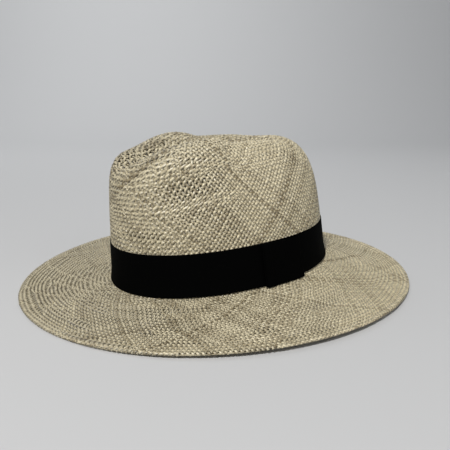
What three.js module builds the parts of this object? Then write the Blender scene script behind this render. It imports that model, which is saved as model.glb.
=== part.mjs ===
// Handwoven straw hat: centre-dent crown, wide flat brim, grosgrain ribbon with a flat bow, sweatband inside.
// Millimetres. +Z up, the front of the hat looks to -Y, the wearer's left is +X.
// The hat rests on its brim: z = 0 is the table, the origin is under the middle of the brim.
import * as THREE from "three";

// ---- driving sizes -------------------------------------------------------
const BRIM_X = 161.0;          // half width of the brim across the head
const BRIM_Y = 179.0;          // half length of the brim, front to back
const HEAD_X = 82.0;           // outside of the straw at the crown's base, half width
const HEAD_Y = 102.0;          // the same, front to back
const CROWN_H = 122.0;         // crown height above its base before the drops
const STRAW_T = 0.9;           // thickness of the woven straw
const FIT_GAP = 0.3;           // clearance left between touching pieces
const HEM_W = 9.0;             // how far the brim edge is turned under
const SIDE_LIFT = 3.0;         // how much higher the brim edge sits at the sides
const REST_HALF = 0.36;        // half angle (rad) of the flat resting stretch, front and back
const TILT = 4.1 * Math.PI / 180;   // the crown leans forward by this much
const BASE_Z = 10.4;           // height of the crown base above the table, at the middle
const BASE_DIP = 1.3;          // the base oval is lower at front and back by this much
const SHIFT_Y = 1.1;           // the crown sits this far back of the brim's middle

const SQUARE_F = 14.0, SQUARE_B = 5.8, SQUARE_S = 3.1;   // how square the crown's shoulder is: front, back, sides
const TAPER_F = 0.075, TAPER_B = 0.08, TAPER_S = 0.12; // how much the walls lean in, per 100 mm
const FRONT_DROP = 16.5, BACK_DROP = 4.5, BACK_END = 3.5; // the top falls to the front, to the back, and more at its back end
const TIP_LEAN = 4.5;          // the front tip of the left ridge is pressed lower than the right one by this, each way
const CREASE_D = 26.0, CREASE_BACK = 68.0;              // centre crease: depth, where it ends at the back
const CREASE_W0 = 7.0, CREASE_W1 = 27.0;                // its half width at the front tip and at the middle
const PINCH_D = 7.0, PINCH_Y = -58.0, PINCH_Z = 84.0, PINCH_RY = 24.0, PINCH_RZ = 22.0;

const RIBBON_T = 0.6;          // grosgrain thickness
const RIBBON_H = 34.5;         // its width, standing up
const RIBBON_LOW = 1.8;        // its lower edge above the crown's base line
const RIBBON_FLARE = 1.0;      // it stands off a little at the lower edge
const BOW_MID = 95 * Math.PI / 180;     // where the wrap of the bow sits, from the front towards the left
const BOW_LEN = 33.0;          // length of the flat loop behind the wrap
const BOW_FRONT = 5.0;         // how far the loop shows in front of the wrap
const WRAP_W = 6.5;            // width of the wrap
const BOW_DROP = 1.0;          // the loop hangs this much lower at its free end
const BAND_T = 0.7;            // sweatband leaf
const BAND_H = 30.0;           // sweatband height
const BAND_LOW = 1.6;          // sweatband lower edge above the base line
const REED_R = 0.7;            // reed in the sweatband's folded edge
const THREAD_R = 0.3;          // sewing thread

const N_RING = 60;             // stations round the hat
const N_CROWN = 24;            // rings on the crown

// ---- the shape -----------------------------------------------------------
const clamp = (x, a, b) => Math.min(b, Math.max(a, x));
const smooth = (a, b, x) => { const t = clamp((x - a) / (b - a), 0, 1); return t * t * (3 - 2 * t); };
const mixDir = (ph, f, b, s) => { const c = Math.cos(ph), q = Math.sin(ph) ** 2; return (c > 0 ? f : b) * c * c + s * q; };
const oval = (ph, a, b) => 1 / Math.sqrt((Math.cos(ph) / a) ** 2 + (Math.sin(ph) / b) ** 2);
const headR = (ph) => oval(ph, HEAD_Y, HEAD_X);
const brimR = (ph) => oval(ph, BRIM_Y, BRIM_X);

// crown frame -> hat frame
function place(x, y, z, ph) {
  const h = z - BASE_DIP * Math.cos(2 * ph), c = Math.cos(TILT), s = Math.sin(TILT);
  return [x, y * c - h * s + SHIFT_Y, y * s + h * c + BASE_Z];
}
// a point of the wall at height h above the base, off mm outside the straw's outer face
function wall(ph, h, off) {
  const n = mixDir(ph, SQUARE_F, SQUARE_B, SQUARE_S), tap = mixDir(ph, TAPER_F, TAPER_B, TAPER_S);
  const rho = (1 - Math.pow(Math.max(0, h) / CROWN_H, n)) ** (1 / n);
  const r = headR(ph) * rho * (1 - tap * h / 100) + off;
  return place(r * Math.sin(ph), -r * Math.cos(ph), h, ph);
}
// the middle surface of the straw on the crown; a runs from 0 at the base to PI/2 at the top
function crown(ph, a) {
  const n = mixDir(ph, SQUARE_F, SQUARE_B, SQUARE_S), tap = mixDir(ph, TAPER_F, TAPER_B, TAPER_S);
  const ca = Math.max(0, Math.cos(a)), sa = Math.sin(a), q = (ca ** n + sa ** n) ** (-1 / n), rho = q * ca, zz = q * sa;
  let z = CROWN_H * zz;
  const r = (headR(ph) - STRAW_T / 2) * rho * (1 - tap * z / 100);
  let x = r * Math.sin(ph); const y = -r * Math.cos(ph);
  const high = smooth(0.3, 0.97, zz);
  z -= high * (FRONT_DROP * smooth(-8, -97, y) ** 1.2 + BACK_DROP * smooth(-25, 40, y) + BACK_END * smooth(30, 70, y));
  z -= high * TIP_LEAN * Math.exp(-(((y + 82) / 15) ** 2)) * x / (Math.abs(x) + 5);
  const depth = CREASE_D * smooth(-99, -35, y) * smooth(CREASE_BACK, CREASE_BACK - 50, y);
  const w = CREASE_W0 + (CREASE_W1 - CREASE_W0) * smooth(-100, -15, y);
  z -= smooth(0.5, 0.97, zz) * depth * Math.exp(-Math.pow(Math.abs(x) / w, 2.6));
  const k = Math.exp(-(((y - PINCH_Y) / PINCH_RY) ** 2) - ((z - PINCH_Z) / PINCH_RZ) ** 2);
  x -= Math.sign(x) * PINCH_D * k * smooth(5, 30, Math.abs(x));
  return place(x, y, z, ph);
}
// height of the brim's middle surface at its edge
const EDGE_R = (STRAW_T + 0.4) / 2;                       // fold radius: two layers with 0.4 between them
const EDGE_TOP = STRAW_T / 2 + 2 * EDGE_R;
function edgeZ(ph) {
  const fromY = Math.acos(Math.abs(Math.cos(ph)));       // angle from the front-back line
  return EDGE_TOP + SIDE_LIFT * smooth(REST_HALF, Math.PI / 2, fromY);
}
// the brim's middle surface, v from 0 at the crown base to 1 at the start of the hem
function brim(ph, v) {
  const b = wall(ph, 0, -STRAW_T / 2), re = brimR(ph) - HEM_W - EDGE_R - STRAW_T / 2;
  const e = [re * Math.sin(ph), -re * Math.cos(ph), edgeZ(ph)];
  const k = Math.pow(1 - v, 1.5);
  return [b[0] + (e[0] - b[0]) * v, b[1] + (e[1] - b[1]) * v, e[2] + (b[2] - e[2]) * k];
}
// one line of the straw's middle surface, from the top of the crown to the turned-under end
function meridian(ph) {
  const line = [];
  const low = Math.atan(2.4 / CROWN_H);
  for (let i = 1; i <= N_CROWN; i++) {
    const t = i / N_CROWN;
    line.push(crown(ph, Math.PI / 2 * (1 - t) + low * t));
  }
  const p0 = line[line.length - 1], p1 = wall(ph, 0.4, -STRAW_T / 2), p2 = brim(ph, 0.03);
  for (const t of [0.35, 0.6, 0.85]) {
    const a = (1 - t) ** 2, b = 2 * t * (1 - t), c = t * t;
    line.push([0, 1, 2].map((k) => a * p0[k] + b * p1[k] + c * p2[k]));
  }
  for (const v of [0.06, 0.2, 0.4, 0.6, 0.8, 1.0]) line.push(brim(ph, v));
  const R = brimR(ph) - EDGE_R - STRAW_T / 2, z = edgeZ(ph), s = Math.sin(ph), c = -Math.cos(ph);
  for (const t of [0.1, 0.5, 0.9]) {
    const g = Math.PI * (0.5 - t);
    line.push([(R + EDGE_R * Math.cos(g)) * s, (R + EDGE_R * Math.cos(g)) * c, z - EDGE_R + EDGE_R * Math.sin(g)]);
  }
  line.push([(R - HEM_W) * s, (R - HEM_W) * c, z - 2 * EDGE_R]);
  return line;
}

// ---- mesh helpers --------------------------------------------------------
const group = new THREE.Group();
function addMesh(name, points, faces, color, rough) {
  const g = new THREE.BufferGeometry();
  g.setAttribute("position", new THREE.BufferAttribute(new Float32Array(points.flat()), 3));
  g.setIndex(faces.flat());
  g.computeVertexNormals();
  const m = new THREE.Mesh(g, new THREE.MeshStandardMaterial({ color, roughness: rough }));
  m.name = name;
  group.add(m);
  return m;
}
const quad = (f, a, b, c, d) => { f.push([a, b, c], [a, c, d]); };
function volume(points, faces) {
  let v = 0;
  for (const [a, b, c] of faces) {
    const A = points[a], B = points[b], C = points[c];
    v += A[0] * (B[1] * C[2] - B[2] * C[1]) - A[1] * (B[0] * C[2] - B[2] * C[0]) + A[2] * (B[0] * C[1] - B[1] * C[0]);
  }
  return v / 6;
}
// a closed outline carried through the stations; closed ring, or a strip with two end faces
function sweep(name, sections, ring, color, rough, capFan) {
  const n = sections[0].length, m = sections.length, pts = sections.flat(), faces = [];
  for (let i = 0; i < (ring ? m : m - 1); i++) {
    const j = (i + 1) % m;
    for (let k = 0; k < n; k++) { const l = (k + 1) % n; quad(faces, i * n + k, j * n + k, j * n + l, i * n + l); }
  }
  if (!ring) {
    for (const [s, flip] of [[0, false], [m - 1, true]]) {
      for (const t of capFan) faces.push(flip ? [s * n + t[2], s * n + t[1], s * n + t[0]] : t.map((q) => s * n + q));
    }
  }
  if (volume(pts, faces) < 0) for (const f of faces) f.reverse();
  return addMesh(name, pts, faces, color, rough);
}
// outline of a thin leaf given by its two faces, point lists of equal length; with the triangles that cap it
function leaf(outer, inner) {
  const n = outer.length, cap = [];
  for (let i = 0; i < n - 1; i++) { const a = i, b = i + 1, c = 2 * n - 2 - i, d = 2 * n - 1 - i; cap.push([a, b, c], [a, c, d]); }
  return { pts: [...outer, ...inner.slice().reverse()], cap };
}
const stations = (a, b, n, closed) => Array.from({ length: closed ? n : n + 1 }, (_, i) => a + (b - a) * i / n);
const TURN = 2 * Math.PI;

// ---- straw body: crown and brim woven in one -----------------------------
{
  const lines = stations(0, TURN, N_RING, true).map(meridian), m = lines[0].length, N = N_RING;
  const top = crown(0, Math.PI / 2);
  const at = (i, k) => (k < 0 ? top : lines[(i + N) % N][k]);
  const off = (i, k, d) => {
    const p = at(i, k), a = at(i - 1, k), b = at(i + 1, k), u = at(i, k - 1), w = at(i, Math.min(m - 1, k + 1));
    const U = [b[0] - a[0], b[1] - a[1], b[2] - a[2]], V = [w[0] - u[0], w[1] - u[1], w[2] - u[2]];
    const n = [U[1] * V[2] - U[2] * V[1], U[2] * V[0] - U[0] * V[2], U[0] * V[1] - U[1] * V[0]], l = Math.hypot(...n);
    return p.map((q, j) => q - d * n[j] / l);
  };
  const pts = [], faces = [];
  for (const d of [STRAW_T / 2, -STRAW_T / 2]) {
    pts.push([top[0], top[1], top[2] + d]);
    for (let k = 0; k < m; k++) for (let i = 0; i < N; i++) pts.push(off(i, k, d));
  }
  const base = 1 + m * N, id = (side, k, i) => side * base + 1 + k * N + (i % N);
  for (const s of [0, 1]) {
    for (let i = 0; i < N; i++) {
      const t = [s * base, id(s, 0, i), id(s, 0, i + 1)];
      faces.push(s ? t.reverse() : t);
      for (let k = 0; k < m - 1; k++) {
        const q = [id(s, k, i), id(s, k + 1, i), id(s, k + 1, i + 1), id(s, k, i + 1)];
        if (s) q.reverse();
        quad(faces, ...q);
      }
    }
  }
  for (let i = 0; i < N; i++) quad(faces, id(0, m - 1, i), id(1, m - 1, i), id(1, m - 1, i + 1), id(0, m - 1, i + 1));
  if (volume(pts, faces) < 0) for (const f of faces) f.reverse();
  addMesh("straw_body", pts, faces, 0xcdbf98, 0.8);
}

// ---- thread that holds the turned-under edge -----------------------------
{
  const R = (ph) => brimR(ph) - HEM_W + 1.5;
  sweep("hem_thread", stations(0, TURN, N_RING, true).map((ph) => {
    const s = Math.sin(ph), c = -Math.cos(ph), r = R(ph), z = edgeZ(ph) + STRAW_T / 2 + FIT_GAP + THREAD_R;
    return [0, 1, 2, 3, 4, 5].map((i) => {
      const g = TURN * i / 6;
      return [(r + THREAD_R * Math.cos(g)) * s, (r + THREAD_R * Math.cos(g)) * c, z + THREAD_R * Math.sin(g)];
    });
  }), true, 0xc4b68e, 0.7);
}

// ---- ribbon --------------------------------------------------------------
const flare = (h) => RIBBON_FLARE * (1 - smooth(RIBBON_LOW, RIBBON_LOW + 9, h));
const ribbonHeights = [0, 0.12, 0.26, 0.6, 1].map((t) => RIBBON_LOW + RIBBON_H * t);
const ribbonIn = FIT_GAP, ribbonOut = FIT_GAP + RIBBON_T;
{
  const half = 0.6 / headR(BOW_MID);                  // the two ends meet under the wrap
  const st = stations(BOW_MID + half, BOW_MID + TURN - half, 72, false);
  let cap;
  const sec = st.map((ph) => {
    const l = leaf(ribbonHeights.map((h) => wall(ph, h, ribbonOut + flare(h))), ribbonHeights.map((h) => wall(ph, h, ribbonIn + flare(h))));
    cap = l.cap; return l.pts;
  });
  sweep("ribbon_band", sec, false, 0x0b0d0c, 0.75, cap);
}

// ---- flat bow: a folded loop and the wrap round it -----------------------
const arc = (d) => BOW_MID + d / headR(BOW_MID);      // d mm behind the middle of the wrap
const wrapBack = ribbonOut + FIT_GAP;                 // inner face of the wrap's hidden run
const loopIn = wrapBack + RIBBON_T + FIT_GAP;
const loopOut = loopIn + 2 * RIBBON_T + 0.4;
const LOW = RIBBON_LOW - 0.2, HIGH = RIBBON_LOW + RIBBON_H + 0.1;
{
  // a strip standing on edge, folded back on itself at its far end
  const path = [], turnR = RIBBON_T + 0.2;
  const ds = stations(-BOW_FRONT, BOW_LEN, 8, false);
  for (const d of ds) path.push([d, loopIn + RIBBON_T / 2]);
  for (const g of [0.25, 0.5, 0.75]) path.push([BOW_LEN + turnR * Math.sin(Math.PI * g), loopIn + loopOut - loopIn - RIBBON_T / 2 - (turnR * 1.0) * (1 + Math.cos(Math.PI * g)) + 0 * g]);
  const mid = (loopIn + loopOut) / 2, r2 = (loopOut - loopIn - RIBBON_T) / 2;
  path.splice(ds.length, 3, ...[0.25, 0.5, 0.75].map((g) => [BOW_LEN + r2 * Math.sin(Math.PI * g), mid - r2 * Math.cos(Math.PI * g)]));
  for (const d of ds.slice().reverse()) path.push([d, loopOut - RIBBON_T / 2]);
  const sec = path.map((p, i) => {
    const a = path[Math.max(0, i - 1)], b = path[Math.min(path.length - 1, i + 1)];
    const dx = b[0] - a[0], dy = b[1] - a[1], l = Math.hypot(dx, dy), nx = -dy / l, ny = dx / l;
    const drop = BOW_DROP * smooth(0, BOW_LEN, p[0]);
    const face = (sgn) => [LOW, LOW + 9, HIGH].map((h) => wall(arc(p[0] + sgn * nx * RIBBON_T / 2), h - drop, p[1] + sgn * ny * RIBBON_T / 2 + flare(h - drop)));
    return leaf(face(1), face(-1));
  });
  sweep("bow_loop", sec.map((s) => s.pts), false, 0x0a0b0b, 0.7, sec[0].cap);
}
{
  // a narrow strap that closes round the loop
  const inner = [], outer = [], w = WRAP_W / 2, T = RIBBON_T, g = FIT_GAP;
  const a = wrapBack + T, b = loopOut + g;             // free room for the loop: a .. b
  const lo = LOW - g - 0.2, hi = HIGH + g;
  const ring = [[lo, a], [LOW + 9, a], [hi, a], [hi, b], [LOW + 9, b], [lo, b]];
  const big = [[lo - T, a - T], [LOW + 9, a - T], [hi + T, a - T], [hi + T, b + T], [LOW + 9, b + T], [lo - T, b + T]];
  const st = [-w, 0, w];
  const pts = [], faces = [], n = 6;
  for (const d of st) for (const [h, o] of [...ring, ...big]) pts.push(wall(arc(d), h, o + flare(h)));
  const id = (s, side, k) => s * 2 * n + side * n + (k % n);
  for (let s = 0; s < st.length - 1; s++) for (let k = 0; k < n; k++) {
    quad(faces, id(s, 1, k), id(s, 1, k + 1), id(s + 1, 1, k + 1), id(s + 1, 1, k));
    quad(faces, id(s, 0, k), id(s + 1, 0, k), id(s + 1, 0, k + 1), id(s, 0, k + 1));
  }
  for (let k = 0; k < n; k++) {
    quad(faces, id(0, 0, k), id(0, 0, k + 1), id(0, 1, k + 1), id(0, 1, k));
    const e = st.length - 1;
    quad(faces, id(e, 0, k), id(e, 1, k), id(e, 1, k + 1), id(e, 0, k + 1));
  }
  if (volume(pts, faces) < 0) for (const f of faces) f.reverse();
  addMesh("bow_wrap", pts, faces, 0x0c0d0d, 0.7);
}

// ---- sweatband, reed, seam tape and stitching, inside the crown ----------
const inFace = -STRAW_T - FIT_GAP;                    // outer face of the sweatband
const hookR = REED_R + FIT_GAP;                       // inside radius of the folded edge
const SEAM = Math.PI;                                 // the ends meet at the back
{
  const half = 0.5 / headR(SEAM), st = stations(SEAM + half, SEAM + TURN - half, 60, false);
  const cx = inFace - BAND_T - hookR, cz = BAND_LOW + BAND_T + hookR;
  let cap;
  const sec = st.map((ph) => {
    const o = [], q = [];
    o.push([BAND_LOW + BAND_H, inFace]); q.push([BAND_LOW + BAND_H, inFace - BAND_T]);
    o.push([BAND_LOW + BAND_H * 0.5, inFace]); q.push([BAND_LOW + BAND_H * 0.5, inFace - BAND_T]);
    for (const g of [0, 0.25, 0.5, 0.75, 1]) {
      const c = Math.cos(Math.PI * g), s = Math.sin(Math.PI * g);
      o.push([cz - (hookR + BAND_T) * s, cx + (hookR + BAND_T) * c]);
      q.push([cz - hookR * s, cx + hookR * c]);
    }
    o.push([cz + 3.0, cx - hookR - BAND_T]); q.push([cz + 3.0, cx - hookR]);
    const l = leaf(o.map(([h, d]) => wall(ph, h, d)), q.map(([h, d]) => wall(ph, h, d)));
    cap = l.cap; return l.pts;
  });
  sweep("sweatband", sec, false, 0xb9a887, 0.85, cap);

  const reedHalf = 1.5 / headR(SEAM), cap6 = [[0, 1, 2], [0, 2, 3], [0, 3, 4], [0, 4, 5]];
  const circle = (ph, h, d, r) => [0, 1, 2, 3, 4, 5].map((i) => wall(ph, h + r * Math.sin(TURN * i / 6), d + r * Math.cos(TURN * i / 6)));
  sweep("sweatband_reed", stations(SEAM + reedHalf, SEAM + TURN - reedHalf, 60, false).map((ph) => circle(ph, cz, cx, REED_R)), false, 0xe6e1d2, 0.4, cap6);

  const stitchH = cz + 3.0 + FIT_GAP + THREAD_R + 0.6, stitchD = inFace - BAND_T - FIT_GAP - THREAD_R;
  const stitchHalf = 6.5 / headR(SEAM);
  sweep("sweatband_stitch", stations(SEAM + stitchHalf, SEAM + TURN - stitchHalf, 60, false).map((ph) => circle(ph, stitchH, stitchD, THREAD_R)), false, 0xd8cfb8, 0.6, cap6);

  const tapeW = 5.0 / headR(SEAM), tin = inFace - BAND_T - FIT_GAP, tapeLow = cz + 3.0 + FIT_GAP + 0.4;
  let tcap;
  const tsec = stations(SEAM - tapeW, SEAM + tapeW, 4, false).map((ph) => {
    const hs = [tapeLow, (tapeLow + BAND_H) / 2, BAND_LOW + BAND_H - 0.5];
    const l = leaf(hs.map((h) => wall(ph, h, tin)), hs.map((h) => wall(ph, h, tin - 0.5)));
    tcap = l.cap; return l.pts;
  });
  sweep("sweatband_seam_tape", tsec, false, 0x9c8a68, 0.85, tcap);
}

export default group;
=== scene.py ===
"""Woven straw hat with a creased crown, a wide flat brim, a black ribbon and a flat bow.

Millimetres in the shape functions, metres in the meshes. +Z is up, -Y the front, +X the wearer's left.
"""
import math

import bpy
import numpy as np
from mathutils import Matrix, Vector


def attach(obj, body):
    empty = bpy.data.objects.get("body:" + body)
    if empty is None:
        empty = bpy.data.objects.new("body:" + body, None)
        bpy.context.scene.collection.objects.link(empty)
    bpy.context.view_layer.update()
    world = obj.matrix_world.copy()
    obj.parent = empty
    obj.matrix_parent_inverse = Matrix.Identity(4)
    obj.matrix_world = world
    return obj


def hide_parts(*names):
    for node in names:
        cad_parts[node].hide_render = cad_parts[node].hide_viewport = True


bl_info = {
    "name": "Woven Straw Hat",
    "version": (1, 0, 0),
    "blender": (4, 5, 0),
    "location": "View3D > Sidebar > Straw Hat",
    "description": "Builds a handwoven straw hat strand by strand around its packed frame",
    "category": "Object",
}

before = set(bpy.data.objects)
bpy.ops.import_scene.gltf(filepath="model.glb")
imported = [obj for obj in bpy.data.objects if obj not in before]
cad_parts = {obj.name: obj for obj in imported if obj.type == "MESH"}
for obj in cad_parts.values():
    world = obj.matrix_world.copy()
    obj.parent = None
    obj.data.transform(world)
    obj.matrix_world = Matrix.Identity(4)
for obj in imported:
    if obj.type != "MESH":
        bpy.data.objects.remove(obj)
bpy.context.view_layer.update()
TURN = 2 * math.pi
MM = 0.001

# ---- the hat's shape ------------------------------------------------------
BRIM_X, BRIM_Y = 161.0, 179.0          # brim edge, half width and half length
HEAD_X, HEAD_Y = 82.0, 102.0           # straw's outer face at the crown's base
CROWN_H = 122.0
STRAW_T = 0.9
TILT = math.radians(4.1)
BASE_Z, BASE_DIP, SHIFT_Y = 10.4, 1.3, 1.1
SQUARE = (14.0, 5.8, 3.1)              # shoulder squareness: front, back, sides
TAPER = (0.075, 0.08, 0.12)           # walls lean in, per 100 mm
FRONT_DROP, BACK_DROP, BACK_END = 16.5, 4.5, 3.5
TIP_LEAN = 4.5                          # left ridge's front tip is pressed lower, right one higher
CREASE_D, CREASE_BACK, CREASE_W = 26.0, 68.0, (7.0, 27.0)
PINCH = (7.0, -58.0, 84.0, 24.0, 22.0)  # depth, y, z, and the two radii
SIDE_LIFT, REST_HALF = 3.0, 0.36
HEM_W = 9.0                            # brim edge turned under by this much
FOLD_R = 0.8                           # radius of that fold
STRAND_REACH = 0.6                     # how far the strands stand outside their middle surface
EDGE_TOP = 2.25                        # middle of the brim's upper layer at its edge
BOW_AT = math.radians(95.0)
RIBBON_LOW, RIBBON_H = 1.8, 34.5
RIBBON_IN = 0.5                        # ribbon's inner face outside the straw's nominal outer face
RIBBON_T = 0.5


def smooth(a, b, x):
    t = np.clip((x - a) / (b - a), 0, 1)
    return t * t * (3 - 2 * t)


def by_side(ph, values):
    """Blends front, back and side values round the hat."""
    c, s = np.cos(ph), np.sin(ph)
    return np.where(c > 0, values[0], values[1]) * c * c + values[2] * s * s


def oval(ph, a, b):
    return 1 / np.sqrt((np.cos(ph) / a) ** 2 + (np.sin(ph) / b) ** 2)


def place(x, y, z, ph):
    """From the crown's own upright frame to the hat's frame."""
    h = z - BASE_DIP * np.cos(2 * ph)
    c, s = math.cos(TILT), math.sin(TILT)
    return np.stack(np.broadcast_arrays(x, y * c - h * s + SHIFT_Y, y * s + h * c + BASE_Z), -1)


def wall(ph, h, off):
    """A point of the crown's wall at height h, off mm outside the straw."""
    ph, h, off = np.broadcast_arrays(np.asarray(ph, float), h, off)
    n, tap = by_side(ph, SQUARE), by_side(ph, TAPER)
    rho = (1 - (np.maximum(0, h) / CROWN_H) ** n) ** (1 / n)
    r = oval(ph, HEAD_Y, HEAD_X) * rho * (1 - tap * h / 100) + off
    return place(r * np.sin(ph), -r * np.cos(ph), h, ph)


def crown(ph, a):
    """The straw's middle surface on the crown; a is 0 at the base and a quarter turn at the top."""
    n, tap = by_side(ph, SQUARE), by_side(ph, TAPER)
    ca, sa = np.maximum(0, np.cos(a)), np.maximum(0, np.sin(a))
    q = (ca ** n + sa ** n) ** (-1 / n)
    rho, zz = q * ca, q * sa
    z = CROWN_H * zz
    r = (oval(ph, HEAD_Y, HEAD_X) - STRAW_T / 2) * rho * (1 - tap * z / 100)
    x, y = r * np.sin(ph), -r * np.cos(ph)
    high = smooth(0.3, 0.97, zz)
    drop = FRONT_DROP * smooth(-8, -97, y) ** 1.2
    drop = drop + BACK_DROP * smooth(-25, 40, y) + BACK_END * smooth(30, 70, y)
    z = z - high * drop
    z = z - high * TIP_LEAN * np.exp(-((y + 82) / 15) ** 2) * x / (np.abs(x) + 5)
    depth = CREASE_D * smooth(-99, -35, y) * smooth(CREASE_BACK, CREASE_BACK - 50, y)
    w = CREASE_W[0] + (CREASE_W[1] - CREASE_W[0]) * smooth(-100, -15, y)
    z = z - smooth(0.5, 0.97, zz) * depth * np.exp(-(np.abs(x) / w) ** 2.6)
    d, py, pz, ry, rz = PINCH
    k = np.exp(-((y - py) / ry) ** 2 - ((z - pz) / rz) ** 2)
    x = x - np.sign(x) * d * k * smooth(5, 30, np.abs(x))
    return place(x, y, z, ph)


def edge_z(ph):
    return EDGE_TOP + SIDE_LIFT * smooth(REST_HALF, math.pi / 2, np.arccos(np.abs(np.cos(ph))))


def brim(ph, v):
    """The straw's middle surface on the brim; v is 0 at the crown and 1 where the hem starts."""
    b = wall(ph, 0.0, -STRAW_T / 2)
    re = oval(ph, BRIM_Y, BRIM_X) - HEM_W - FOLD_R - STRAND_REACH
    e = np.stack([re * np.sin(ph), -re * np.cos(ph), edge_z(ph)], -1)
    p = b + (e - b) * v
    p[..., 2] = e[..., 2] + (b[..., 2] - e[..., 2]) * (1 - v) ** 1.5
    return p


N_ROUND = 360
N_CROWN, N_BEND, N_BRIM, N_HEM, N_FOLD = 220, 10, 90, 14, 8


class Surface:
    """Table of the straw's middle surface, looked up by angle and distance from the crown's top."""

    def __init__(self):
        ph = np.linspace(0, TURN, N_ROUND + 1)
        low = math.atan(2.4 / CROWN_H)
        rows = [crown(ph, np.full_like(ph, a)) for a in np.linspace(math.pi / 2, low, N_CROWN)]
        p0, p1, p2 = rows[-1], wall(ph, 0.4, -STRAW_T / 2), brim(ph, 0.03)
        for t in np.linspace(0, 1, N_BEND + 2)[1:]:
            rows.append((1 - t) ** 2 * p0 + 2 * t * (1 - t) * p1 + t * t * p2)
        rows += [brim(ph, v) for v in np.linspace(0.03, 1, N_BRIM)[1:]]
        rim, z = oval(ph, BRIM_Y, BRIM_X) - FOLD_R - STRAND_REACH, edge_z(ph)

        def flat(r, h):
            return np.stack([r * np.sin(ph), -r * np.cos(ph), h], -1)

        rows += [flat(rim - HEM_W * (1 - t), z) for t in np.linspace(0, 1, N_HEM)[1:]]
        self.edge_row = len(rows) - 1
        for t in np.linspace(0, 1, N_FOLD + 1)[1:]:
            g = math.pi * (0.5 - t)
            rows.append(flat(rim + FOLD_R * math.cos(g), z - FOLD_R + FOLD_R * math.sin(g)))
        rows += [flat(rim - HEM_W * t, z - 2 * FOLD_R) for t in np.linspace(0, 1, N_HEM)[1:]]
        self.p = np.stack(rows)                                  # rows, round, xyz
        step = np.linalg.norm(np.diff(self.p, axis=0), axis=-1).mean(1)
        self.s = np.concatenate([[0], np.cumsum(step)])          # distance from the top
        self.girth = np.linalg.norm(np.diff(self.p, axis=1), axis=-1).sum(1)
        along = np.gradient(self.p, axis=0)
        ring = np.concatenate([self.p[:, -2:-1], self.p, self.p[:, 1:2]], 1)
        n = np.cross(along, ring[:, 2:] - ring[:, :-2])
        n[:3] = n[3]
        self.n = n / np.linalg.norm(n, axis=-1, keepdims=True)
        if self.n[N_CROWN // 2, 0] @ np.array([0, -1, 0.2]) < 0:
            self.n = -self.n
        self.n[0] = self.n[1:4].mean((0, 1))
        self.edge = self.s[self.edge_row]

    def at(self, ph, s):
        """Points and outward normals at angle ph and distance s."""
        f = np.mod(ph / TURN, 1) * N_ROUND
        j = np.minimum(f.astype(int), N_ROUND - 1)
        u = (f - j)[..., None]
        g = np.interp(s, self.s, np.arange(len(self.s)))
        i = np.minimum(g.astype(int), len(self.s) - 2)
        v = (g - i)[..., None]

        def mix(t):
            upper = t[i, j] * (1 - u) + t[i, j + 1] * u
            lower = t[i + 1, j] * (1 - u) + t[i + 1, j + 1] * u
            return upper * (1 - v) + lower * v

        n = mix(self.n)
        return mix(self.p), n / np.linalg.norm(n, axis=-1, keepdims=True)


# ---- settings -------------------------------------------------------------
def number(name, text, default, **limits):
    return bpy.props.FloatProperty(name=name, description=text, default=default, **limits)


def colour(name, text, default):
    return bpy.props.FloatVectorProperty(name=name, description=text, default=default,
                                         subtype="COLOR", size=3, min=0, max=1)


class StrawSettings(bpy.types.PropertyGroup):
    pitch: number("Pitch", "Spacing of the strands, mm", 2.88, min=2, max=6)
    fill: number("Fill", "Strand width over spacing", 0.89, min=0.5, max=1)
    rise: number("Rise", "Height of the over and under, mm", 0.52, min=0.1, max=1)
    thick: number("Thickness", "Strand thickness over its width", 0.33, min=0.05, max=1)
    groove: number("Groove", "Depth of the groove down each strand", 0.05, min=0, max=1)
    seed: bpy.props.IntProperty(name="Seed", description="Seed of the weave's irregularity", default=11)
    # edge shade and dive shade are painted shade in the straw's colour, along strand edges and where strands
    # go under
    edge_shade: number("Edge shade", "Darkening along a strand's edges", 0.75, min=0, max=1)
    dive_shade: number("Dive shade", "Darkening along the over and under", 0.85, min=0, max=1)
    pale: colour("Pale straw", "Colour of the palest straw", (0.83, 0.735, 0.505))
    dark: colour("Dark straw", "Colour of the darkest straw", (0.37, 0.30, 0.175))


class TrimSettings(bpy.types.PropertyGroup):
    rib: number("Rib", "Spacing of the ribbon's ribs, mm", 0.95, min=0.3, max=3)
    rib_depth: number("Rib depth", "Height of the ribs, mm", 0.1, min=0, max=0.4)
    bow_length: number("Bow length", "Length of the flat loop, mm", 33.0, min=10, max=80)
    bow_drop: number("Bow drop", "How far the loop's free end hangs, mm", 1.2, min=0, max=5)
    black: colour("Ribbon", "Colour of the ribbon", (0.0009, 0.0010, 0.0010))
    band: colour("Sweatband", "Colour of the sweatband", (0.50, 0.42, 0.29))


# ---- making meshes --------------------------------------------------------
def new_mesh(name, verts_mm, faces, material):
    mesh = bpy.data.meshes.new(name)
    mesh.from_pydata((np.asarray(verts_mm) * MM).tolist(), [], [list(map(int, f)) for f in faces])
    mesh.validate()
    mesh.polygons.foreach_set("use_smooth", [True] * len(mesh.polygons))
    obj = bpy.data.objects.new(name, mesh)
    bpy.context.scene.collection.objects.link(obj)
    mesh.materials.append(material)
    return obj


def outward(obj):
    """Turns the faces outwards by the sign of the volume."""
    me = obj.data
    v = np.empty(len(me.vertices) * 3)
    me.vertices.foreach_get("co", v)
    v = v.reshape(-1, 3)
    me.calc_loop_triangles()
    t = np.empty(len(me.loop_triangles) * 3, dtype=np.int64)
    me.loop_triangles.foreach_get("vertices", t)
    a, b, c = (v[t.reshape(-1, 3)[:, k]] for k in range(3))
    if np.einsum("ij,ij->i", a, np.cross(b, c)).sum() < 0:
        me.flip_normals()
    return obj


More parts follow.
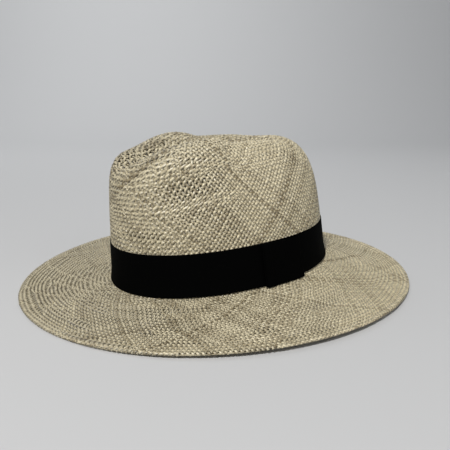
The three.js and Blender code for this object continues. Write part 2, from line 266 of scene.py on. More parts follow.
def sweep(name, sections, closed, material):
    """A closed outline carried through stations: sections is stations, points, xyz."""
    m, n = sections.shape[:2]
    i, k = np.meshgrid(np.arange(m if closed else m - 1), np.arange(n), indexing="ij")
    j, l = (i + 1) % m, (k + 1) % n
    quads = np.stack([i * n + k, j * n + k, j * n + l, i * n + l], -1).reshape(-1, 4).tolist()
    if not closed:
        half = n // 2
        for base in (0, (m - 1) * n):
            for q in range(half - 1):
                cap = [base + q, base + q + 1, base + n - 2 - q, base + n - 1 - q]
                quads.append(cap if base else cap[::-1])
    return outward(new_mesh(name, sections.reshape(-1, 3), quads, material))


def leaf(outer, inner):
    """One outline round a thin strip, from its two faces (points first, stations second)."""
    return np.concatenate([np.stack(outer, 1), np.stack(inner[::-1], 1)], 1)


# ---- materials ------------------------------------------------------------
GRAIN_DEPTH = 0.0002                   # metres


def shader(name, color, rough, specular=0.5, sheen=0.0):
    mat = bpy.data.materials.new(name)
    mat.use_nodes = True
    bsdf = mat.node_tree.nodes["Principled BSDF"]
    bsdf.inputs["Base Color"].default_value = (*color, 1)
    bsdf.inputs["Roughness"].default_value = rough
    bsdf.inputs["Specular IOR Level"].default_value = specular
    if sheen:
        bsdf.inputs["Sheen Weight"].default_value = sheen
        bsdf.inputs["Sheen Roughness"].default_value = 0.5
    return mat, mat.node_tree, bsdf


def math_node(tree, operation, *values):
    """A math node's output; each value is a number or another node's output."""
    n = tree.nodes.new("ShaderNodeMath")
    n.operation = operation
    for socket, value in zip(n.inputs, values):
        if isinstance(value, bpy.types.NodeSocket):
            tree.links.new(value, socket)
        else:
            socket.default_value = value
    return n.outputs[0]


def reader(tree, name):
    """A value stored on the strands' points."""
    n = tree.nodes.new("ShaderNodeAttribute")
    n.attribute_name = name
    return n.outputs["Fac"]


def eased(tree, source, low, high, start, end):
    """Goes smoothly from start to end as source goes from low to high."""
    n = tree.nodes.new("ShaderNodeMapRange")
    n.interpolation_type = "SMOOTHSTEP"
    for socket, value in (("From Min", low), ("From Max", high), ("To Min", start), ("To Max", end)):
        n.inputs[socket].default_value = value
    tree.links.new(source, n.inputs["Value"])
    return n.outputs["Result"]


def noise(tree, scale, detail):
    """Noise in the piece's own coordinates."""
    pos, n = tree.nodes.new("ShaderNodeTexCoord"), tree.nodes.new("ShaderNodeTexNoise")
    n.inputs["Scale"].default_value = scale
    n.inputs["Detail"].default_value = detail
    tree.links.new(pos.outputs["Object"], n.inputs["Vector"])
    return n.outputs["Fac"]


def grain(tree, bsdf, scale, detail, strength):
    """Fine bumps on the surface."""
    bump = tree.nodes.new("ShaderNodeBump")
    bump.inputs["Strength"].default_value = strength
    bump.inputs["Distance"].default_value = GRAIN_DEPTH
    tree.links.new(noise(tree, scale, detail), bump.inputs["Height"])
    tree.links.new(bump.outputs["Normal"], bsdf.inputs["Normal"])


def straw_material(s):
    """Dry straw: a tone for each strand, slow blotches along it, painted shade on edges and dives, and a
    fine grain.
    """
    mat, tree, bsdf = shader("dry_straw", s.pale, 0.36, 0.8)
    nodes, links = tree.nodes, tree.links
    ramp = nodes.new("ShaderNodeValToRGB")
    ends = ramp.color_ramp.elements
    ends[0].position, ends[0].color = 0.15, (*s.dark, 1)
    ends[1].position, ends[1].color = 1.0, (*s.pale, 1)
    ends.new(0.5).color = (*[0.45 * a + 0.55 * b for a, b in zip(s.dark, s.pale)], 1)
    tone = math_node(tree, "MULTIPLY_ADD", noise(tree, 60.0, 3.0), 0.55, reader(tree, "tone"))
    links.new(tone, ramp.inputs["Fac"])
    # painted shade along the over and under, given to a strand's two faces in opposite ways
    centred = math_node(tree, "SUBTRACT", reader(tree, "crest"), 0.5)
    turned = math_node(tree, "MULTIPLY_ADD", centred, reader(tree, "face"), 0.5)
    # painted shade: darker along a strand's edges, less so on its crests, and darker where it dives under
    rim = eased(tree, reader(tree, "across"), 0.45, 1.0, 1.0, 1.0 - s.edge_shade)
    dive = eased(tree, turned, 0.08, 0.84, 1.0 - s.dive_shade, 1.0)
    kept = math_node(tree, "MAXIMUM", rim, eased(tree, turned, 0.6, 1.0, 0.0, 0.62))
    shade = nodes.new("ShaderNodeMix")
    shade.data_type, shade.blend_type = "RGBA", "MULTIPLY"
    shade.inputs["Factor"].default_value = 1.0
    links.new(ramp.outputs["Color"], shade.inputs["A"])
    links.new(math_node(tree, "MULTIPLY", kept, dive), shade.inputs["B"])
    links.new(shade.outputs["Result"], bsdf.inputs["Base Color"])
    grain(tree, bsdf, 1400.0, 2.0, 0.25)
    return mat


def cloth_material(name, color, rough, scale, strength, sheen=0.0, specular=0.3):
    """Cloth with a fine grain."""
    mat, tree, bsdf = shader(name, color, rough, specular, sheen)
    grain(tree, bsdf, scale, 3.0, strength)
    return mat


# ---- geometry nodes -------------------------------------------------------
class Tree:
    """Small helper that lays out one geometry node tree."""

    def __init__(self, name, inputs):
        self.group = bpy.data.node_groups.new(name, "GeometryNodeTree")
        face = self.group.interface
        face.new_socket("Geometry", in_out="INPUT", socket_type="NodeSocketGeometry")
        for label, kind, value in inputs:
            socket = face.new_socket(label, in_out="INPUT", socket_type=kind)
            if value is not None:
                socket.default_value = value
        face.new_socket("Geometry", in_out="OUTPUT", socket_type="NodeSocketGeometry")
        self.entry, self.exit = self.node("NodeGroupInput"), self.node("NodeGroupOutput")

    def node(self, kind, **settings):
        n = self.group.nodes.new(kind)
        for key, value in settings.items():
            setattr(n, key, value)
        return n

    def link(self, a, b):
        self.group.links.new(a, b)

    def attribute(self, name, kind):
        n = self.node("GeometryNodeInputNamedAttribute", data_type=kind)
        n.inputs["Name"].default_value = name
        return n.outputs["Attribute"]

    def math(self, operation, a, b):
        return math_node(self.group, operation, a, b)

    def store(self, geometry, name, value):
        n = self.node("GeometryNodeStoreNamedAttribute", data_type="FLOAT", domain="POINT")
        n.inputs["Name"].default_value = name
        self.link(geometry, n.inputs["Geometry"])
        self.link(value, n.inputs["Value"])
        return n.outputs["Geometry"]

    def close(self, geometry):
        """Realizes the instances, sets the material and ends the tree."""
        real = self.node("GeometryNodeRealizeInstances")
        self.link(geometry, real.inputs["Geometry"])
        paint = self.node("GeometryNodeSetMaterial")
        self.link(real.outputs["Geometry"], paint.inputs["Geometry"])
        self.link(self.entry.outputs["Material"], paint.inputs["Material"])
        self.link(paint.outputs["Geometry"], self.exit.inputs["Geometry"])
        return self.group


def strand_tree():
    """Lines with 'up' and 'half' become flat strands with a shallow groove on both faces."""
    t = Tree("Strand sweep", [("Thickness", "NodeSocketFloat", 0.33), ("Groove", "NodeSocketFloat", 0.05),
                              ("Sides", "NodeSocketInt", SIDES), ("Material", "NodeSocketMaterial", None)])
    curve = t.node("GeometryNodeMeshToCurve")
    t.link(t.entry.outputs["Geometry"], curve.inputs["Mesh"])
    normal = t.node("GeometryNodeSetCurveNormal", mode="FREE")
    t.link(curve.outputs["Curve"], normal.inputs["Curve"])
    t.link(t.attribute("up", "FLOAT_VECTOR"), normal.inputs["Normal"])
    radius = t.node("GeometryNodeSetCurveRadius")
    t.link(normal.outputs["Curve"], radius.inputs["Curve"])
    t.link(t.attribute("half", "FLOAT"), radius.inputs["Radius"])
    ring = t.node("GeometryNodeCurvePrimitiveCircle", mode="RADIUS")
    t.link(t.entry.outputs["Sides"], ring.inputs["Resolution"])
    ring.inputs["Radius"].default_value = 1.0
    place_ring = t.node("GeometryNodeSetPosition")
    t.link(ring.outputs["Curve"], place_ring.inputs["Geometry"])
    pos = t.node("GeometryNodeInputPosition")
    split = t.node("ShaderNodeSeparateXYZ")
    t.link(pos.outputs[0], split.inputs[0])
    # the groove: the middle of each flat side is lower than its shoulders
    across = t.math("ABSOLUTE", split.outputs["X"], 0.0)
    middle = t.math("MAXIMUM", 0.0, t.math("SUBTRACT", 1.0, t.math("MULTIPLY", across, 1.5)))
    dip = t.math("SUBTRACT", 1.0, t.math("MULTIPLY", t.entry.outputs["Groove"], middle))
    high = t.math("MULTIPLY", t.math("MULTIPLY", split.outputs["Y"], t.entry.outputs["Thickness"]), dip)
    join = t.node("ShaderNodeCombineXYZ")
    t.link(high, join.inputs["X"])
    t.link(split.outputs["X"], join.inputs["Y"])
    t.link(join.outputs[0], place_ring.inputs["Position"])
    # 'across' and 'face' steer the painted shade in the straw's colour
    marked = t.store(place_ring.outputs["Geometry"], "across", across)
    marked = t.store(marked, "face", split.outputs["Y"])
    tube = t.node("GeometryNodeCurveToMesh")
    t.link(radius.outputs["Curve"], tube.inputs["Curve"])
    t.link(marked, tube.inputs["Profile Curve"])
    tube.inputs["Fill Caps"].default_value = True
    if "Scale" in tube.inputs:
        t.link(t.attribute("half", "FLOAT"), tube.inputs["Scale"])
    return t.close(tube.outputs["Mesh"])


def stitch_tree():
    """Points with 'up' and 'dir' become short rounded stitches."""
    t = Tree("Stitch row", [("Length", "NodeSocketFloat", 0.0029), ("Thread", "NodeSocketFloat", 0.00028),
                            ("Material", "NodeSocketMaterial", None)])
    ball = t.node("GeometryNodeMeshUVSphere")
    ball.inputs["Segments"].default_value = 8
    ball.inputs["Rings"].default_value = 6
    ball.inputs["Radius"].default_value = 0.5
    turn = t.node("FunctionNodeAxesToRotation", primary_axis="X", secondary_axis="Z")
    t.link(t.attribute("dir", "FLOAT_VECTOR"), turn.inputs["Primary Axis"])
    t.link(t.attribute("up", "FLOAT_VECTOR"), turn.inputs["Secondary Axis"])
    size = t.node("ShaderNodeCombineXYZ")
    t.link(t.entry.outputs["Length"], size.inputs["X"])
    width = t.math("MULTIPLY", t.entry.outputs["Thread"], 2.0)
    t.link(width, size.inputs["Y"])
    t.link(width, size.inputs["Z"])
    put = t.node("GeometryNodeInstanceOnPoints")
    t.link(t.entry.outputs["Geometry"], put.inputs["Points"])
    t.link(ball.outputs["Mesh"], put.inputs["Instance"])
    t.link(turn.outputs["Rotation"], put.inputs["Rotation"])
    t.link(size.outputs[0], put.inputs["Scale"])
    return t.close(put.outputs["Instances"])


def grow(name, verts_mm, edges, attributes, tree, values):
    """Runs a node tree on a bare mesh and keeps the result as a plain piece."""
    mesh = bpy.data.meshes.new(name + "_lines")
    mesh.from_pydata((np.asarray(verts_mm) * MM).tolist(), edges, [])
    for label, data in attributes.items():
        data = np.asarray(data, float)
        kind = "FLOAT_VECTOR" if data.ndim == 2 else "FLOAT"
        layer = mesh.attributes.new(label, kind, "POINT")
        layer.data.foreach_set("vector" if data.ndim == 2 else "value", data.ravel())
    source = bpy.data.objects.new(name + "_lines", mesh)
    bpy.context.scene.collection.objects.link(source)
    mod = source.modifiers.new("Grow", "NODES")
    mod.node_group = tree
    for item in tree.interface.items_tree:
        if item.in_out == "INPUT" and item.name in values:
            mod[item.identifier] = values[item.name]
    graph = bpy.context.evaluated_depsgraph_get()
    made = bpy.data.meshes.new_from_object(source.evaluated_get(graph))
    source.modifiers.remove(mod)
    bpy.data.objects.remove(source)
    made.name = name
    for label in ("up", "dir", "half"):
        if label in made.attributes:
            made.attributes.remove(made.attributes[label])
    made.polygons.foreach_set("use_smooth", [True] * len(made.polygons))
    obj = bpy.data.objects.new(name, made)
    bpy.context.scene.collection.objects.link(obj)
    return outward(obj)


# ---- the weave ------------------------------------------------------------
START = 0.5              # the strands start this far from the crown's top
ROSETTE = 6              # strands of each family that meet at the very top
SWELL = 0.07             # a strand is this much wider on its crests
GROUPS = 5               # pieces each family is cut into
BIRTH = 11.0             # a new pair of strands widens to full size over this length
SIDES = 6                # corners of a strand's section
STEP = 0.7               # steps of the strands' tables, mm
GOLDEN = 0.61803399      # spreads the births evenly round the hat
ALWAYS = -99             # birth of the strands that start at the top
BRIM_W = 75              # the brim's strands are sampled this far in from its edge
BRIM_STEPS = 2           # samples for each crossing on the brim
# looser patches: angle, distance, amount, reach round and reach along
LOOSE = ((1.05, 92.0, 0.17, 0.32, 30.0), (1.25, 140.0, 0.15, 0.36, 34.0), (0.75, 225.0, 0.18, 0.4, 22.0),
         (1.9, 232.0, 0.10, 0.4, 18.0), (2.9, 105.0, 0.10, 0.5, 30.0), (4.4, 130.0, 0.12, 0.4, 30.0))


def wave_field(rng, count, k_round, k_along):
    """A smooth random field over angle and distance."""
    terms = [(rng.integers(1, k_round + 1), rng.uniform(0.2, 1) * k_along,
              rng.uniform(0, TURN), rng.uniform(0.5, 1)) for _ in range(count)]
    norm = math.sqrt(sum(w * w for *_, w in terms) / 2)

    def field(ph, s):
        return sum(w * np.sin(m * ph * (1 if q > 3 else -1) + k * s + q) for m, k, q, w in terms) / norm
    return field


class Weave:
    """Two families of strands that spiral both ways from the crown's top to the turned hem."""

    def __init__(self, surface, pitch, seed):
        rng = np.random.default_rng(seed)
        self.surface = surface
        self.s = np.arange(START, surface.s[-1], STEP)
        girth = np.maximum.accumulate(np.interp(self.s, surface.s, surface.girth))
        spacing = pitch * (1 - 0.15 * smooth(surface.edge - 90, surface.edge - 72, self.s))
        wanted = girth / (spacing * math.sqrt(2))
        under = self.s > surface.edge
        wanted[under] = wanted[under].min()
        wanted = np.maximum.accumulate(np.maximum(wanted, ROSETTE))
        self.girth = np.interp(self.s, surface.s, surface.girth)
        self.pairs = int(math.ceil(wanted[-1] / 2))
        self.count = 2 * self.pairs
        radius = np.maximum(self.girth / TURN, 3.0)
        self.twist = np.concatenate([[0], np.cumsum(np.diff(self.s) / radius[1:])])
        self.families = []
        for _ in range(2):
            rank = np.arange(self.pairs)
            spot = np.mod(rank * GOLDEN + rng.uniform(0, 0.2 / self.pairs, self.pairs), 1)
            need = 2 * np.argsort(spot) + 1.0
            birth = np.interp(need, wanted, self.s, left=ALWAYS)
            birth[need <= wanted[0]] = ALWAYS
            grown = smooth(0, BIRTH, self.s[None] - birth[:, None])
            grown = np.repeat(np.maximum(grown, 1e-5), 2, 0)
            base = np.exp(0.07 * rng.standard_normal(self.count))[:, None]
            length, phase = rng.uniform(14, 40, (self.count, 1)), rng.uniform(0, TURN, (self.count, 1))
            w = grown * base * (1 + 0.02 * np.sin(self.s[None] / length + phase))
            centre = np.cumsum(w, 0) - w / 2
            self.families.append({"w": w, "c": centre, "total": w.sum(0), "grown": grown,
                                  "off": rng.uniform(0, TURN)})
        self.tones = [np.clip(0.46 + 0.30 * rng.standard_normal(self.count), 0.0, 0.85) for _ in range(2)]
        self.wander = wave_field(rng, 9, 7, 0.06)
        self.slip = wave_field(rng, 9, 7, 0.06)
        self.gaps = wave_field(rng, 14, 16, 0.16)

    def paths(self, which, fill, rise, per_crossing):
        """Each strand's angle, distance, height, half width and crest, in step with its crossings."""
        own, other = self.families[which], self.families[1 - which]
        sign = 1 if which == 0 else -1
        ph = TURN * own["c"] / own["total"] + sign * self.twist + own["off"]
        spot = np.mod((ph + sign * self.twist - other["off"]) / TURN, 1) * other["total"]
        cross, met = np.empty_like(ph), np.empty_like(ph)
        for m in range(len(self.s)):
            c, w, total = other["c"][:, m], other["w"][:, m], other["total"][m]
            xp = np.concatenate([[c[-1] - total], c, [c[0] + total]])
            cross[:, m] = np.interp(spot[:, m], xp, np.arange(-1, self.count + 1))
            met[:, m] = np.interp(spot[:, m], xp, np.concatenate([w[-1:], w, w[:1]]))
        spacing = own["w"] * (self.girth / own["total"]) / math.sqrt(2)
        edge = self.surface.edge
        for k in range(self.count):
            run = np.flatnonzero(own["grown"][k] > 0.22)
            if len(run) < 4:
                continue
            q = np.unwrap(cross[k, run], period=self.count) * sign
            q = np.maximum.accumulate(q + 1e-7 * np.arange(len(q)))
            crown_at, brim_at = (np.arange(math.ceil(q[0] * n), math.floor(q[-1] * n) + 1) / n
                                 for n in (per_crossing, BRIM_STEPS))
            split = np.interp(edge - BRIM_W, self.s[run], q)
            at = np.concatenate([crown_at[crown_at < split], brim_at[brim_at >= split]])
            s, p = np.interp(at, q, self.s[run]), np.interp(at, q, ph[k, run])
            keep = np.concatenate([[True], np.diff(s) > 0.12])
            at, s, p = at[keep], s[keep], p[keep]
            beat = np.cos(math.pi * (k + sign * at)) * sign
            beat *= np.clip(np.interp(at, q, met[k, run]) / 0.5, 0, 1)
            calm = 1 - 0.65 * smooth(edge - 6.0, edge, s)
            height = rise * calm * np.sign(beat) * np.abs(beat) ** 0.85
            loose = 0.035 * self.gaps(p, s) + 0.06 * smooth(edge - 88, edge - 72, s)
            for a, d, amount, wide, long in LOOSE:
                gap = np.mod(p - a + math.pi, TURN) - math.pi
                loose = loose + amount * np.exp(-(gap / wide) ** 2 - ((s - d) / long) ** 2)
            half = 0.5 * np.interp(at, q, spacing[k, run]) * (fill - np.clip(loose, -0.05, 0.3))
            half = half * (1 + SWELL * beat)
            real_p = p + 0.006 * self.wander(p, s) * smooth(10, 40, s)
            real_s = s + 0.9 * self.slip(p, s) * smooth(10, 40, s) * (1 - smooth(edge - 22, edge - 8, s))
            yield k, real_p, real_s, height, np.clip(half, 0.25, 2.3), 0.5 + 0.5 * beat


class HAT_OT_straw(bpy.types.Operator):
    """Weave the crown and brim strand by strand, with the brim's edge turned under"""
    bl_idname = "hat.straw"
    bl_label = "Woven straw"

    def execute(self, context):
        s = context.scene.hat_straw
        surface = Surface()
        weave = Weave(surface, s.pitch, s.seed)
        straw, tree = straw_material(s), strand_tree()
        rng = np.random.default_rng(s.seed + 1)
        for which, letter in ((0, "a"), (1, "b")):
            blot = 0.06 * rng.standard_normal(weave.count)
            rows = [[] for _ in range(GROUPS)]
            for row in weave.paths(which, s.fill, s.rise, 3):
                rows[row[0] * GROUPS // weave.count].append(row)
            for g, group in enumerate(rows):
                verts, edges, up, wide, tone, crest = [], [], [], [], [], []
                for k, ph, dist, height, half, lift in group:
                    points, normals = surface.at(ph, dist)
                    base = len(verts)
                    verts.extend(points + normals * height[:, None])
                    edges.extend((base + i, base + i + 1) for i in range(len(ph) - 1))
                    up.extend(normals)
                    wide.extend(half * MM)
                    crest.extend(lift)
                    tone.extend([weave.tones[which][k] + blot[k]] * len(ph))
                stored = {"up": np.array(up), "half": wide, "tone": tone, "crest": crest}
                obj = grow(f"straw_{letter}{g + 1}", verts, edges, stored, tree,
                           {"Thickness": s.thick, "Groove": s.groove, "Sides": SIDES, "Material": straw})
                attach(obj, "root")
                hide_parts("straw_body")
        return {"FINISHED"}


# ---- ribbon and bow -------------------------------------------------------
RIBBON_GIRTH = 578.0                   # mm, sets the number of ribs


def flare(h):
    """The ribbon stands off the straw by up to 1 mm at its lower edge."""
    return 1 - smooth(RIBBON_LOW, RIBBON_LOW + 9, h)


def ribbon_heights(low, high):
    """Heights with a small step at each woven edge."""
    return [low, low + 0.25, low + 0.9, low + 1.2, low + 4, low + 9, (low + high) / 2,
            high - 1.2, high - 0.9, high - 0.25, high]


class HAT_OT_ribbon(bpy.types.Operator):
    """Wrap the grosgrain ribbon round the base of the crown"""
    bl_idname = "hat.ribbon"
    bl_label = "Ribbon"

    def execute(self, context):
        t = context.scene.hat_trim
        cloth = cloth_material("black_grosgrain", t.black, 0.7, 900.0, 0.3, specular=0.02)
        ribs = int(RIBBON_GIRTH / t.rib)
        u = np.arange(ribs * 3 + 1) / 3
        half = 0.4 / HEAD_X                # half the gap between the ribbon's ends, as an angle
        ph = BOW_AT + half + (TURN - 2 * half) * u / ribs
        bulge = t.rib_depth * (0.5 + 0.5 * np.cos(TURN * u))
        heights = ribbon_heights(RIBBON_LOW, RIBBON_LOW + RIBBON_H)
        ease = 0.18 * np.sin(3 * ph + 0.4) + 0.12 * np.sin(7 * ph + 2.0)
        out = [RIBBON_IN + flare(h) * (1 + 0.3 * ease) for h in heights]
        ends = (0, len(heights) - 1)
        outer = [wall(ph, h, off + RIBBON_T + (0 if i in ends else 1) * bulge)
                 for i, (h, off) in enumerate(zip(heights, out))]
        inner = [wall(ph, h, off) for h, off in zip(heights, out)]
        band = sweep("ribbon_cloth", leaf(outer, inner), False, cloth)
        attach(band, "root")
        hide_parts("ribbon_band")
        return {"FINISHED"}


class HAT_OT_bow(bpy.types.Operator):
    """Fold the flat bow and close its wrap round it"""
    bl_idname = "hat.bow"
    bl_label = "Bow"

    def execute(self, context):
        t = context.scene.hat_trim
        cloth = cloth_material("bow_grosgrain", [c * 0.9 for c in t.black], 0.7, 900.0, 0.3, specular=0.02)
        near = RIBBON_IN + RIBBON_T + 0.35 + RIBBON_T + 0.2       # loop's inner face
        gap, T = 0.5, RIBBON_T
        far = near + 2 * T + gap
        mid, turn = (near + far) / 2, (far - near - T) / 2
        front, length = -5.0, t.bow_length
        step = t.rib / 3
        d = np.arange(front, length + 1e-6, step)
        path = [(x, near + T / 2) for x in d]
        path += [(length + turn * math.sin(math.pi * g), mid - turn * math.cos(math.pi * g))
                 for g in (0.2, 0.4, 0.6, 0.8)]
        path += [(x, far - T / 2) for x in d[::-1]]
        path = np.array(path)
        side = np.gradient(path, axis=0)
        side /= np.linalg.norm(side, axis=1, keepdims=True)
        out = np.stack([side[:, 1], -side[:, 0]], 1)
        walked = np.concatenate([[0], np.cumsum(np.linalg.norm(np.diff(path, axis=0), axis=1))])
        bulge = t.rib_depth * (0.5 + 0.5 * np.cos(TURN * walked / t.rib))
        low, high = RIBBON_LOW - 0.2, RIBBON_LOW + RIBBON_H - 0.2
        drop = t.bow_drop * smooth(0, length, path[:, 0])
        radius = 82.5                  # turns millimetres round the crown into angles

        def face(sign):
            rows = []
            hs = ribbon_heights(low, high)
            for i, h in enumerate(hs):
                edge = i in (0, len(hs) - 1)
                off = path + sign * out * (T / 2 + (0 if edge else 1) * bulge)[:, None]
                rows.append(wall(BOW_AT + off[:, 0] / radius, h - drop, off[:, 1] + flare(h - drop)))
            return rows

        loop = sweep("bow_loop_cloth", leaf(face(1), face(-1)), False, cloth)
        # the wrap: a strap that runs down the front of the loop and closes behind it
        a, b = near - 0.2 - T, far + 0.15
        lo, hi = low - 0.5, high + 0.35
        run = []
        for h in np.arange(lo + 1, hi - 1, step):
            run.append((h, b + T / 2))
        run += [(hi - 0.3, b + T / 2 - 0.1), (hi, (a + b) / 2 + T / 2), (hi - 0.3, a + T / 2 + 0.1)]
        for h in np.arange(hi - 1, lo + 1, -step * 3):
            run.append((h, a + T / 2))
        run += [(lo + 0.3, a + T / 2 + 0.1), (lo, (a + b) / 2 + T / 2), (lo + 0.3, b + T / 2 - 0.1)]
        run = np.array(run)
        ahead = np.roll(run, -1, 0) - np.roll(run, 1, 0)
        ahead /= np.linalg.norm(ahead, axis=1, keepdims=True)
        out = np.stack([-ahead[:, 1], ahead[:, 0]], 1)
        centre = run.mean(0)
        if ((run - centre) * out).sum() < 0:
            out = -out
        ridge = t.rib_depth * (0.5 + 0.5 * np.cos(TURN * run[:, 0] / t.rib))
        width = 3.4                    # half of the strap's width
        sections, inner = [], []
        spread = (-width, -width + 0.35, 0, width - 0.35, width)
        for w, lift in zip(spread, (-0.12, 0.05, 0.22, 0.05, -0.12)):
            for rows, off in ((sections, run + out * (T / 2 + ridge * 0.7 + lift)[:, None]),
                              (inner, run - out * T / 2)):
                rows.append(wall(BOW_AT + w / radius, off[:, 0], off[:, 1] + flare(off[:, 0])))
        wrap = sweep("bow_wrap_cloth", leaf(sections, inner), True, cloth)
        for obj, node in ((loop, "bow_loop"), (wrap, "bow_wrap")):
            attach(obj, "root")
            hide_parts(node)
        return {"FINISHED"}


# ---- inside the crown -----------------------------------------------------
BAND_OFF = -STRAW_T - 0.7              # outer face of the sweatband
BAND_ROUND = 100.0                     # turns millimetres along the sweatband into angles


class HAT_OT_lining(bpy.types.Operator):
    """Sew the sweatband, its reed, the seam tape and the stitching inside the crown"""
    bl_idname = "hat.lining"
    bl_label = "Sweatband"

    def execute(self, context):
        t = context.scene.hat_trim
        cloth = cloth_material("sweatband_cotton", t.band, 0.85, 700.0, 0.6, sheen=0.2)
        tape_cloth = cloth_material("seam_tape_cotton", [c * 0.8 for c in t.band], 0.85, 700.0, 0.6,
                                    sheen=0.2)
        reed_plastic, _, _ = shader("reed_plastic", (0.78, 0.74, 0.62), 0.35)
        thread = cloth_material("cream_thread", (0.6, 0.55, 0.42), 0.6, 1500.0, 0.3)
        reed_r, T, low, high = 0.7, 0.6, 1.6, 31.6
        hook = reed_r + 0.25
        ribs = 560
        u = np.arange(ribs * 2 + 1) / 2
        half = 0.5 / BAND_ROUND
        ph = math.pi + half + (TURN - 2 * half) * u / ribs
        bulge = 0.05 * np.cos(TURN * u)
        cx, cz = BAND_OFF - T - hook, low + T + hook
        outer, inner = [], []
        for h in (high, high - 1.0, low + 20, low + 10, cz + 1):
            outer.append(wall(ph, h, BAND_OFF))
            inner.append(wall(ph, h, BAND_OFF - T + (bulge if h < high else 0)))
        for g in np.linspace(0, 1, 7):
            c, q = math.cos(math.pi * g), math.sin(math.pi * g)
            outer.append(wall(ph, cz - (hook + T) * q, cx + (hook + T) * c))
            inner.append(wall(ph, cz - hook * q, cx + hook * c))
        outer.append(wall(ph, cz + 3.0, cx - hook - T + bulge))
        inner.append(wall(ph, cz + 3.0, cx - hook))
        band = sweep("sweatband_cloth", leaf(outer, inner), False, cloth)

        def rod(name, h, off, r, start, material, sides=10, n=300):
            gap = start / BAND_ROUND
            a = math.pi + gap + (TURN - 2 * gap) * np.arange(n) / (n - 1)
            corners = TURN * np.arange(sides) / sides
            ring = [wall(a, h + r * math.sin(g), off + r * math.cos(g)) for g in corners]
            return sweep(name, np.stack(ring, 1), False, material)

        reed = rod("reed", cz, cx, reed_r, 1.5, reed_plastic)
        along = np.linspace(-5, 5, 41)
        a = math.pi + along / BAND_ROUND
        weft = 0.04 * np.cos(TURN * along)
        off = BAND_OFF - T - 0.35
        hs = (cz + 3.9, cz + 4.3, 18.0, high - 1.0, high - 0.6)
        tape = leaf([wall(a, h, off) for h in hs], [wall(a, h, off - 0.45 + weft) for h in hs])
        tape = sweep("seam_tape", tape, False, tape_cloth)
        # a row of stitches above the folded edge
        n = 150
        a = math.pi + 0.075 + (TURN - 0.15) * (np.arange(n) + 0.5) / n
        level, near = cz + 4.6, BAND_OFF - T - 0.25
        p = wall(a, level, near)
        ahead = wall(a + 0.005, level, near) - p
        inward = wall(a, level, near - 1) - p
        row = grow("sweatband_stitches", p, [], {"up": inward, "dir": ahead}, stitch_tree(),
                   {"Length": 0.0029, "Thread": 0.00028, "Material": thread})
        for obj, node, slot in ((band, "sweatband", "sweatband"),
                                (reed, "sweatband_reed", "reed"),
                                (tape, "sweatband_seam_tape", "sweatband"),
                                (row, "sweatband_stitch", "sewing_thread")):
            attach(obj, "root")
            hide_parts(node)
        return {"FINISHED"}


class HAT_OT_hem(bpy.types.Operator):
    """Stitch down the turned-under edge of the brim"""
    bl_idname = "hat.hem"
    bl_label = "Hem stitches"

    def execute(self, context):
        thread = cloth_material("straw_thread", (0.50, 0.43, 0.28), 0.6, 1500.0, 0.3)
        n = 236
        a = TURN * (np.arange(n) + 0.5) / n

        def at(angle):
            r = oval(angle, BRIM_Y, BRIM_X) - HEM_W + 1.5
            return np.stack([r * np.sin(angle), -r * np.cos(angle), edge_z(angle) + 0.75], -1)

        p = at(a)
        stored = {"up": np.tile([0, 0, 1.0], (n, 1)), "dir": at(a + 0.004) - p}
        row = grow("hem_stitches", p, [], stored, stitch_tree(),
                   {"Length": 0.0026, "Thread": 0.00022, "Material": thread})
        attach(row, "root")
        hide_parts("hem_thread")
        return {"FINISHED"}


# ---- stage ----------------------------------------------------------------
class StageSettings(bpy.types.PropertyGroup):
    azimuth: number("Azimuth", "Camera direction, degrees from the front towards the wearer's left", 66.0)
    elevation: number("Elevation", "Camera height angle, degrees", 15.0)
    distance: number("Distance", "Camera distance, mm", 460.0)
    lens: number("Lens", "Focal length, mm", 38.3)
    floor: colour("Floor", "Colour of the floor", (0.585, 0.588, 0.595))


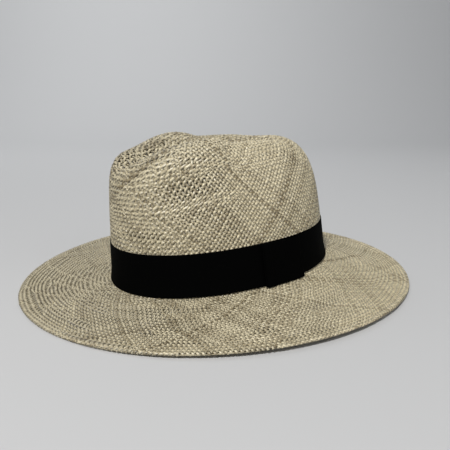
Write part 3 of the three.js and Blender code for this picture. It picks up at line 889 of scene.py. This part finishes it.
class HAT_OT_stage(bpy.types.Operator):
    """Set up the pale floor, the soft light and the camera"""
    bl_idname = "hat.stage"
    bl_label = "Stage"

    def execute(self, context):
        s = context.scene.hat_stage
        scene = context.scene
        scene.view_settings.view_transform = "Standard"
        az, el = math.radians(s.azimuth), math.radians(s.elevation)
        back = Vector((math.sin(az) * math.cos(el), -math.cos(az) * math.cos(el), math.sin(el)))
        right = Vector((math.cos(az), math.sin(az), 0))
        up = back.cross(right)
        data = bpy.data.cameras.new("Camera")
        data.lens, data.sensor_width, data.clip_start = s.lens, 36.0, 0.01
        camera = bpy.data.objects.new("Camera", data)
        scene.collection.objects.link(camera)
        target = right * 0.0047 + up * 0.0427
        camera.location = target + back * s.distance * MM
        camera.rotation_euler = back.to_track_quat("Z", "Y").to_euler()
        scene.camera = camera
        # floor that curves up into a backdrop behind the hat
        mat, _, _ = shader("paper_sweep", s.floor, 0.9, 0.2)
        near, bend, rise, radius = -3.0, 1.2, 2.4, 1.2
        profile = [(near, 0.0)]
        profile += [(bend + radius * math.sin(a), radius - radius * math.cos(a))
                    for a in np.linspace(0, math.pi / 2, 16)]
        profile += [(bend + radius, rise)]
        away = -Vector((back.x, back.y, 0)).normalized()
        verts = [tuple((away * d + right * w + Vector((0, 0, z))) / MM) for w in (-4, 4) for d, z in profile]
        n = len(profile)
        faces = [[i, i + 1, n + i + 1, n + i] for i in range(n - 1)]
        floor = new_mesh("paper_sweep", verts, faces, mat)
        world = bpy.data.worlds.new("Soft sky")
        scene.world = world
        world.use_nodes = True
        nodes, links = world.node_tree.nodes, world.node_tree.links
        sky, seen = nodes["Background"], nodes.new("ShaderNodeBackground")
        sky.inputs["Color"].default_value = (0.93, 0.96, 1.0, 1)
        sky.inputs["Strength"].default_value = 0.24
        seen.inputs["Color"].default_value = (0.56, 0.565, 0.57, 1)
        rays, pick = nodes.new("ShaderNodeLightPath"), nodes.new("ShaderNodeMixShader")
        links.new(rays.outputs["Is Camera Ray"], pick.inputs["Fac"])
        links.new(sky.outputs[0], pick.inputs[1])
        links.new(seen.outputs[0], pick.inputs[2])
        links.new(pick.outputs[0], nodes["World Output"].inputs["Surface"])

        def lamp(name, where, size, power, color, aim=Vector((0, 0, 0.05))):
            light = bpy.data.lights.new(name, "AREA")
            light.shape, light.size, light.energy, light.color = "DISK", size, power, color
            obj = bpy.data.objects.new(name, light)
            spot = right * where[0] + up * where[1] + back * where[2]
            obj.location = spot
            obj.rotation_euler = (spot - aim).to_track_quat("Z", "Y").to_euler()
            scene.collection.objects.link(obj)

        lamp("Key", (-0.36, 0.96, 1.32), 0.12, 20.5, (1.0, 0.985, 0.96))
        lamp("Fill", (1.4, 0.8, 1.2), 1.4, 3.0, (0.97, 0.98, 1.0))
        lamp("Backdrop", (-0.7, 1.9, -0.3), 1.6, 23.0, (0.99, 1.0, 1.0), away * 2.4 + Vector((0, 0, 0.9)))
        return {"FINISHED"}


class HAT_PT_panel(bpy.types.Panel):
    """Shows the hat's settings and the buttons that build it"""
    bl_idname = "HAT_PT_panel"
    bl_label = "Straw Hat"
    bl_space_type = "VIEW_3D"
    bl_region_type = "UI"
    bl_category = "Straw Hat"

    def draw(self, context):
        for group in (context.scene.hat_straw, context.scene.hat_trim, context.scene.hat_stage):
            box = self.layout.box()
            for name in group.__annotations__:
                box.prop(group, name)
        for op in OPERATORS:
            self.layout.operator(op.bl_idname)


OPERATORS = (HAT_OT_straw, HAT_OT_hem, HAT_OT_ribbon, HAT_OT_bow, HAT_OT_lining, HAT_OT_stage)
CLASSES = (StrawSettings, TrimSettings, StageSettings, *OPERATORS, HAT_PT_panel)


def register():
    for c in CLASSES:
        bpy.utils.register_class(c)
    bpy.types.Scene.hat_straw = bpy.props.PointerProperty(type=StrawSettings)
    bpy.types.Scene.hat_trim = bpy.props.PointerProperty(type=TrimSettings)
    bpy.types.Scene.hat_stage = bpy.props.PointerProperty(type=StageSettings)


def unregister():
    for name in ("hat_straw", "hat_trim", "hat_stage"):
        delattr(bpy.types.Scene, name)
    for c in reversed(CLASSES):
        bpy.utils.unregister_class(c)


def main():
    register()
    bpy.ops.hat.straw()
    bpy.ops.hat.hem()
    bpy.ops.hat.ribbon()
    bpy.ops.hat.bow()
    bpy.ops.hat.lining()
    bpy.ops.hat.stage()
    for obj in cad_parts.values():
        obj.hide_render = True
        obj.hide_viewport = True


if __name__ == "__main__":
    main()
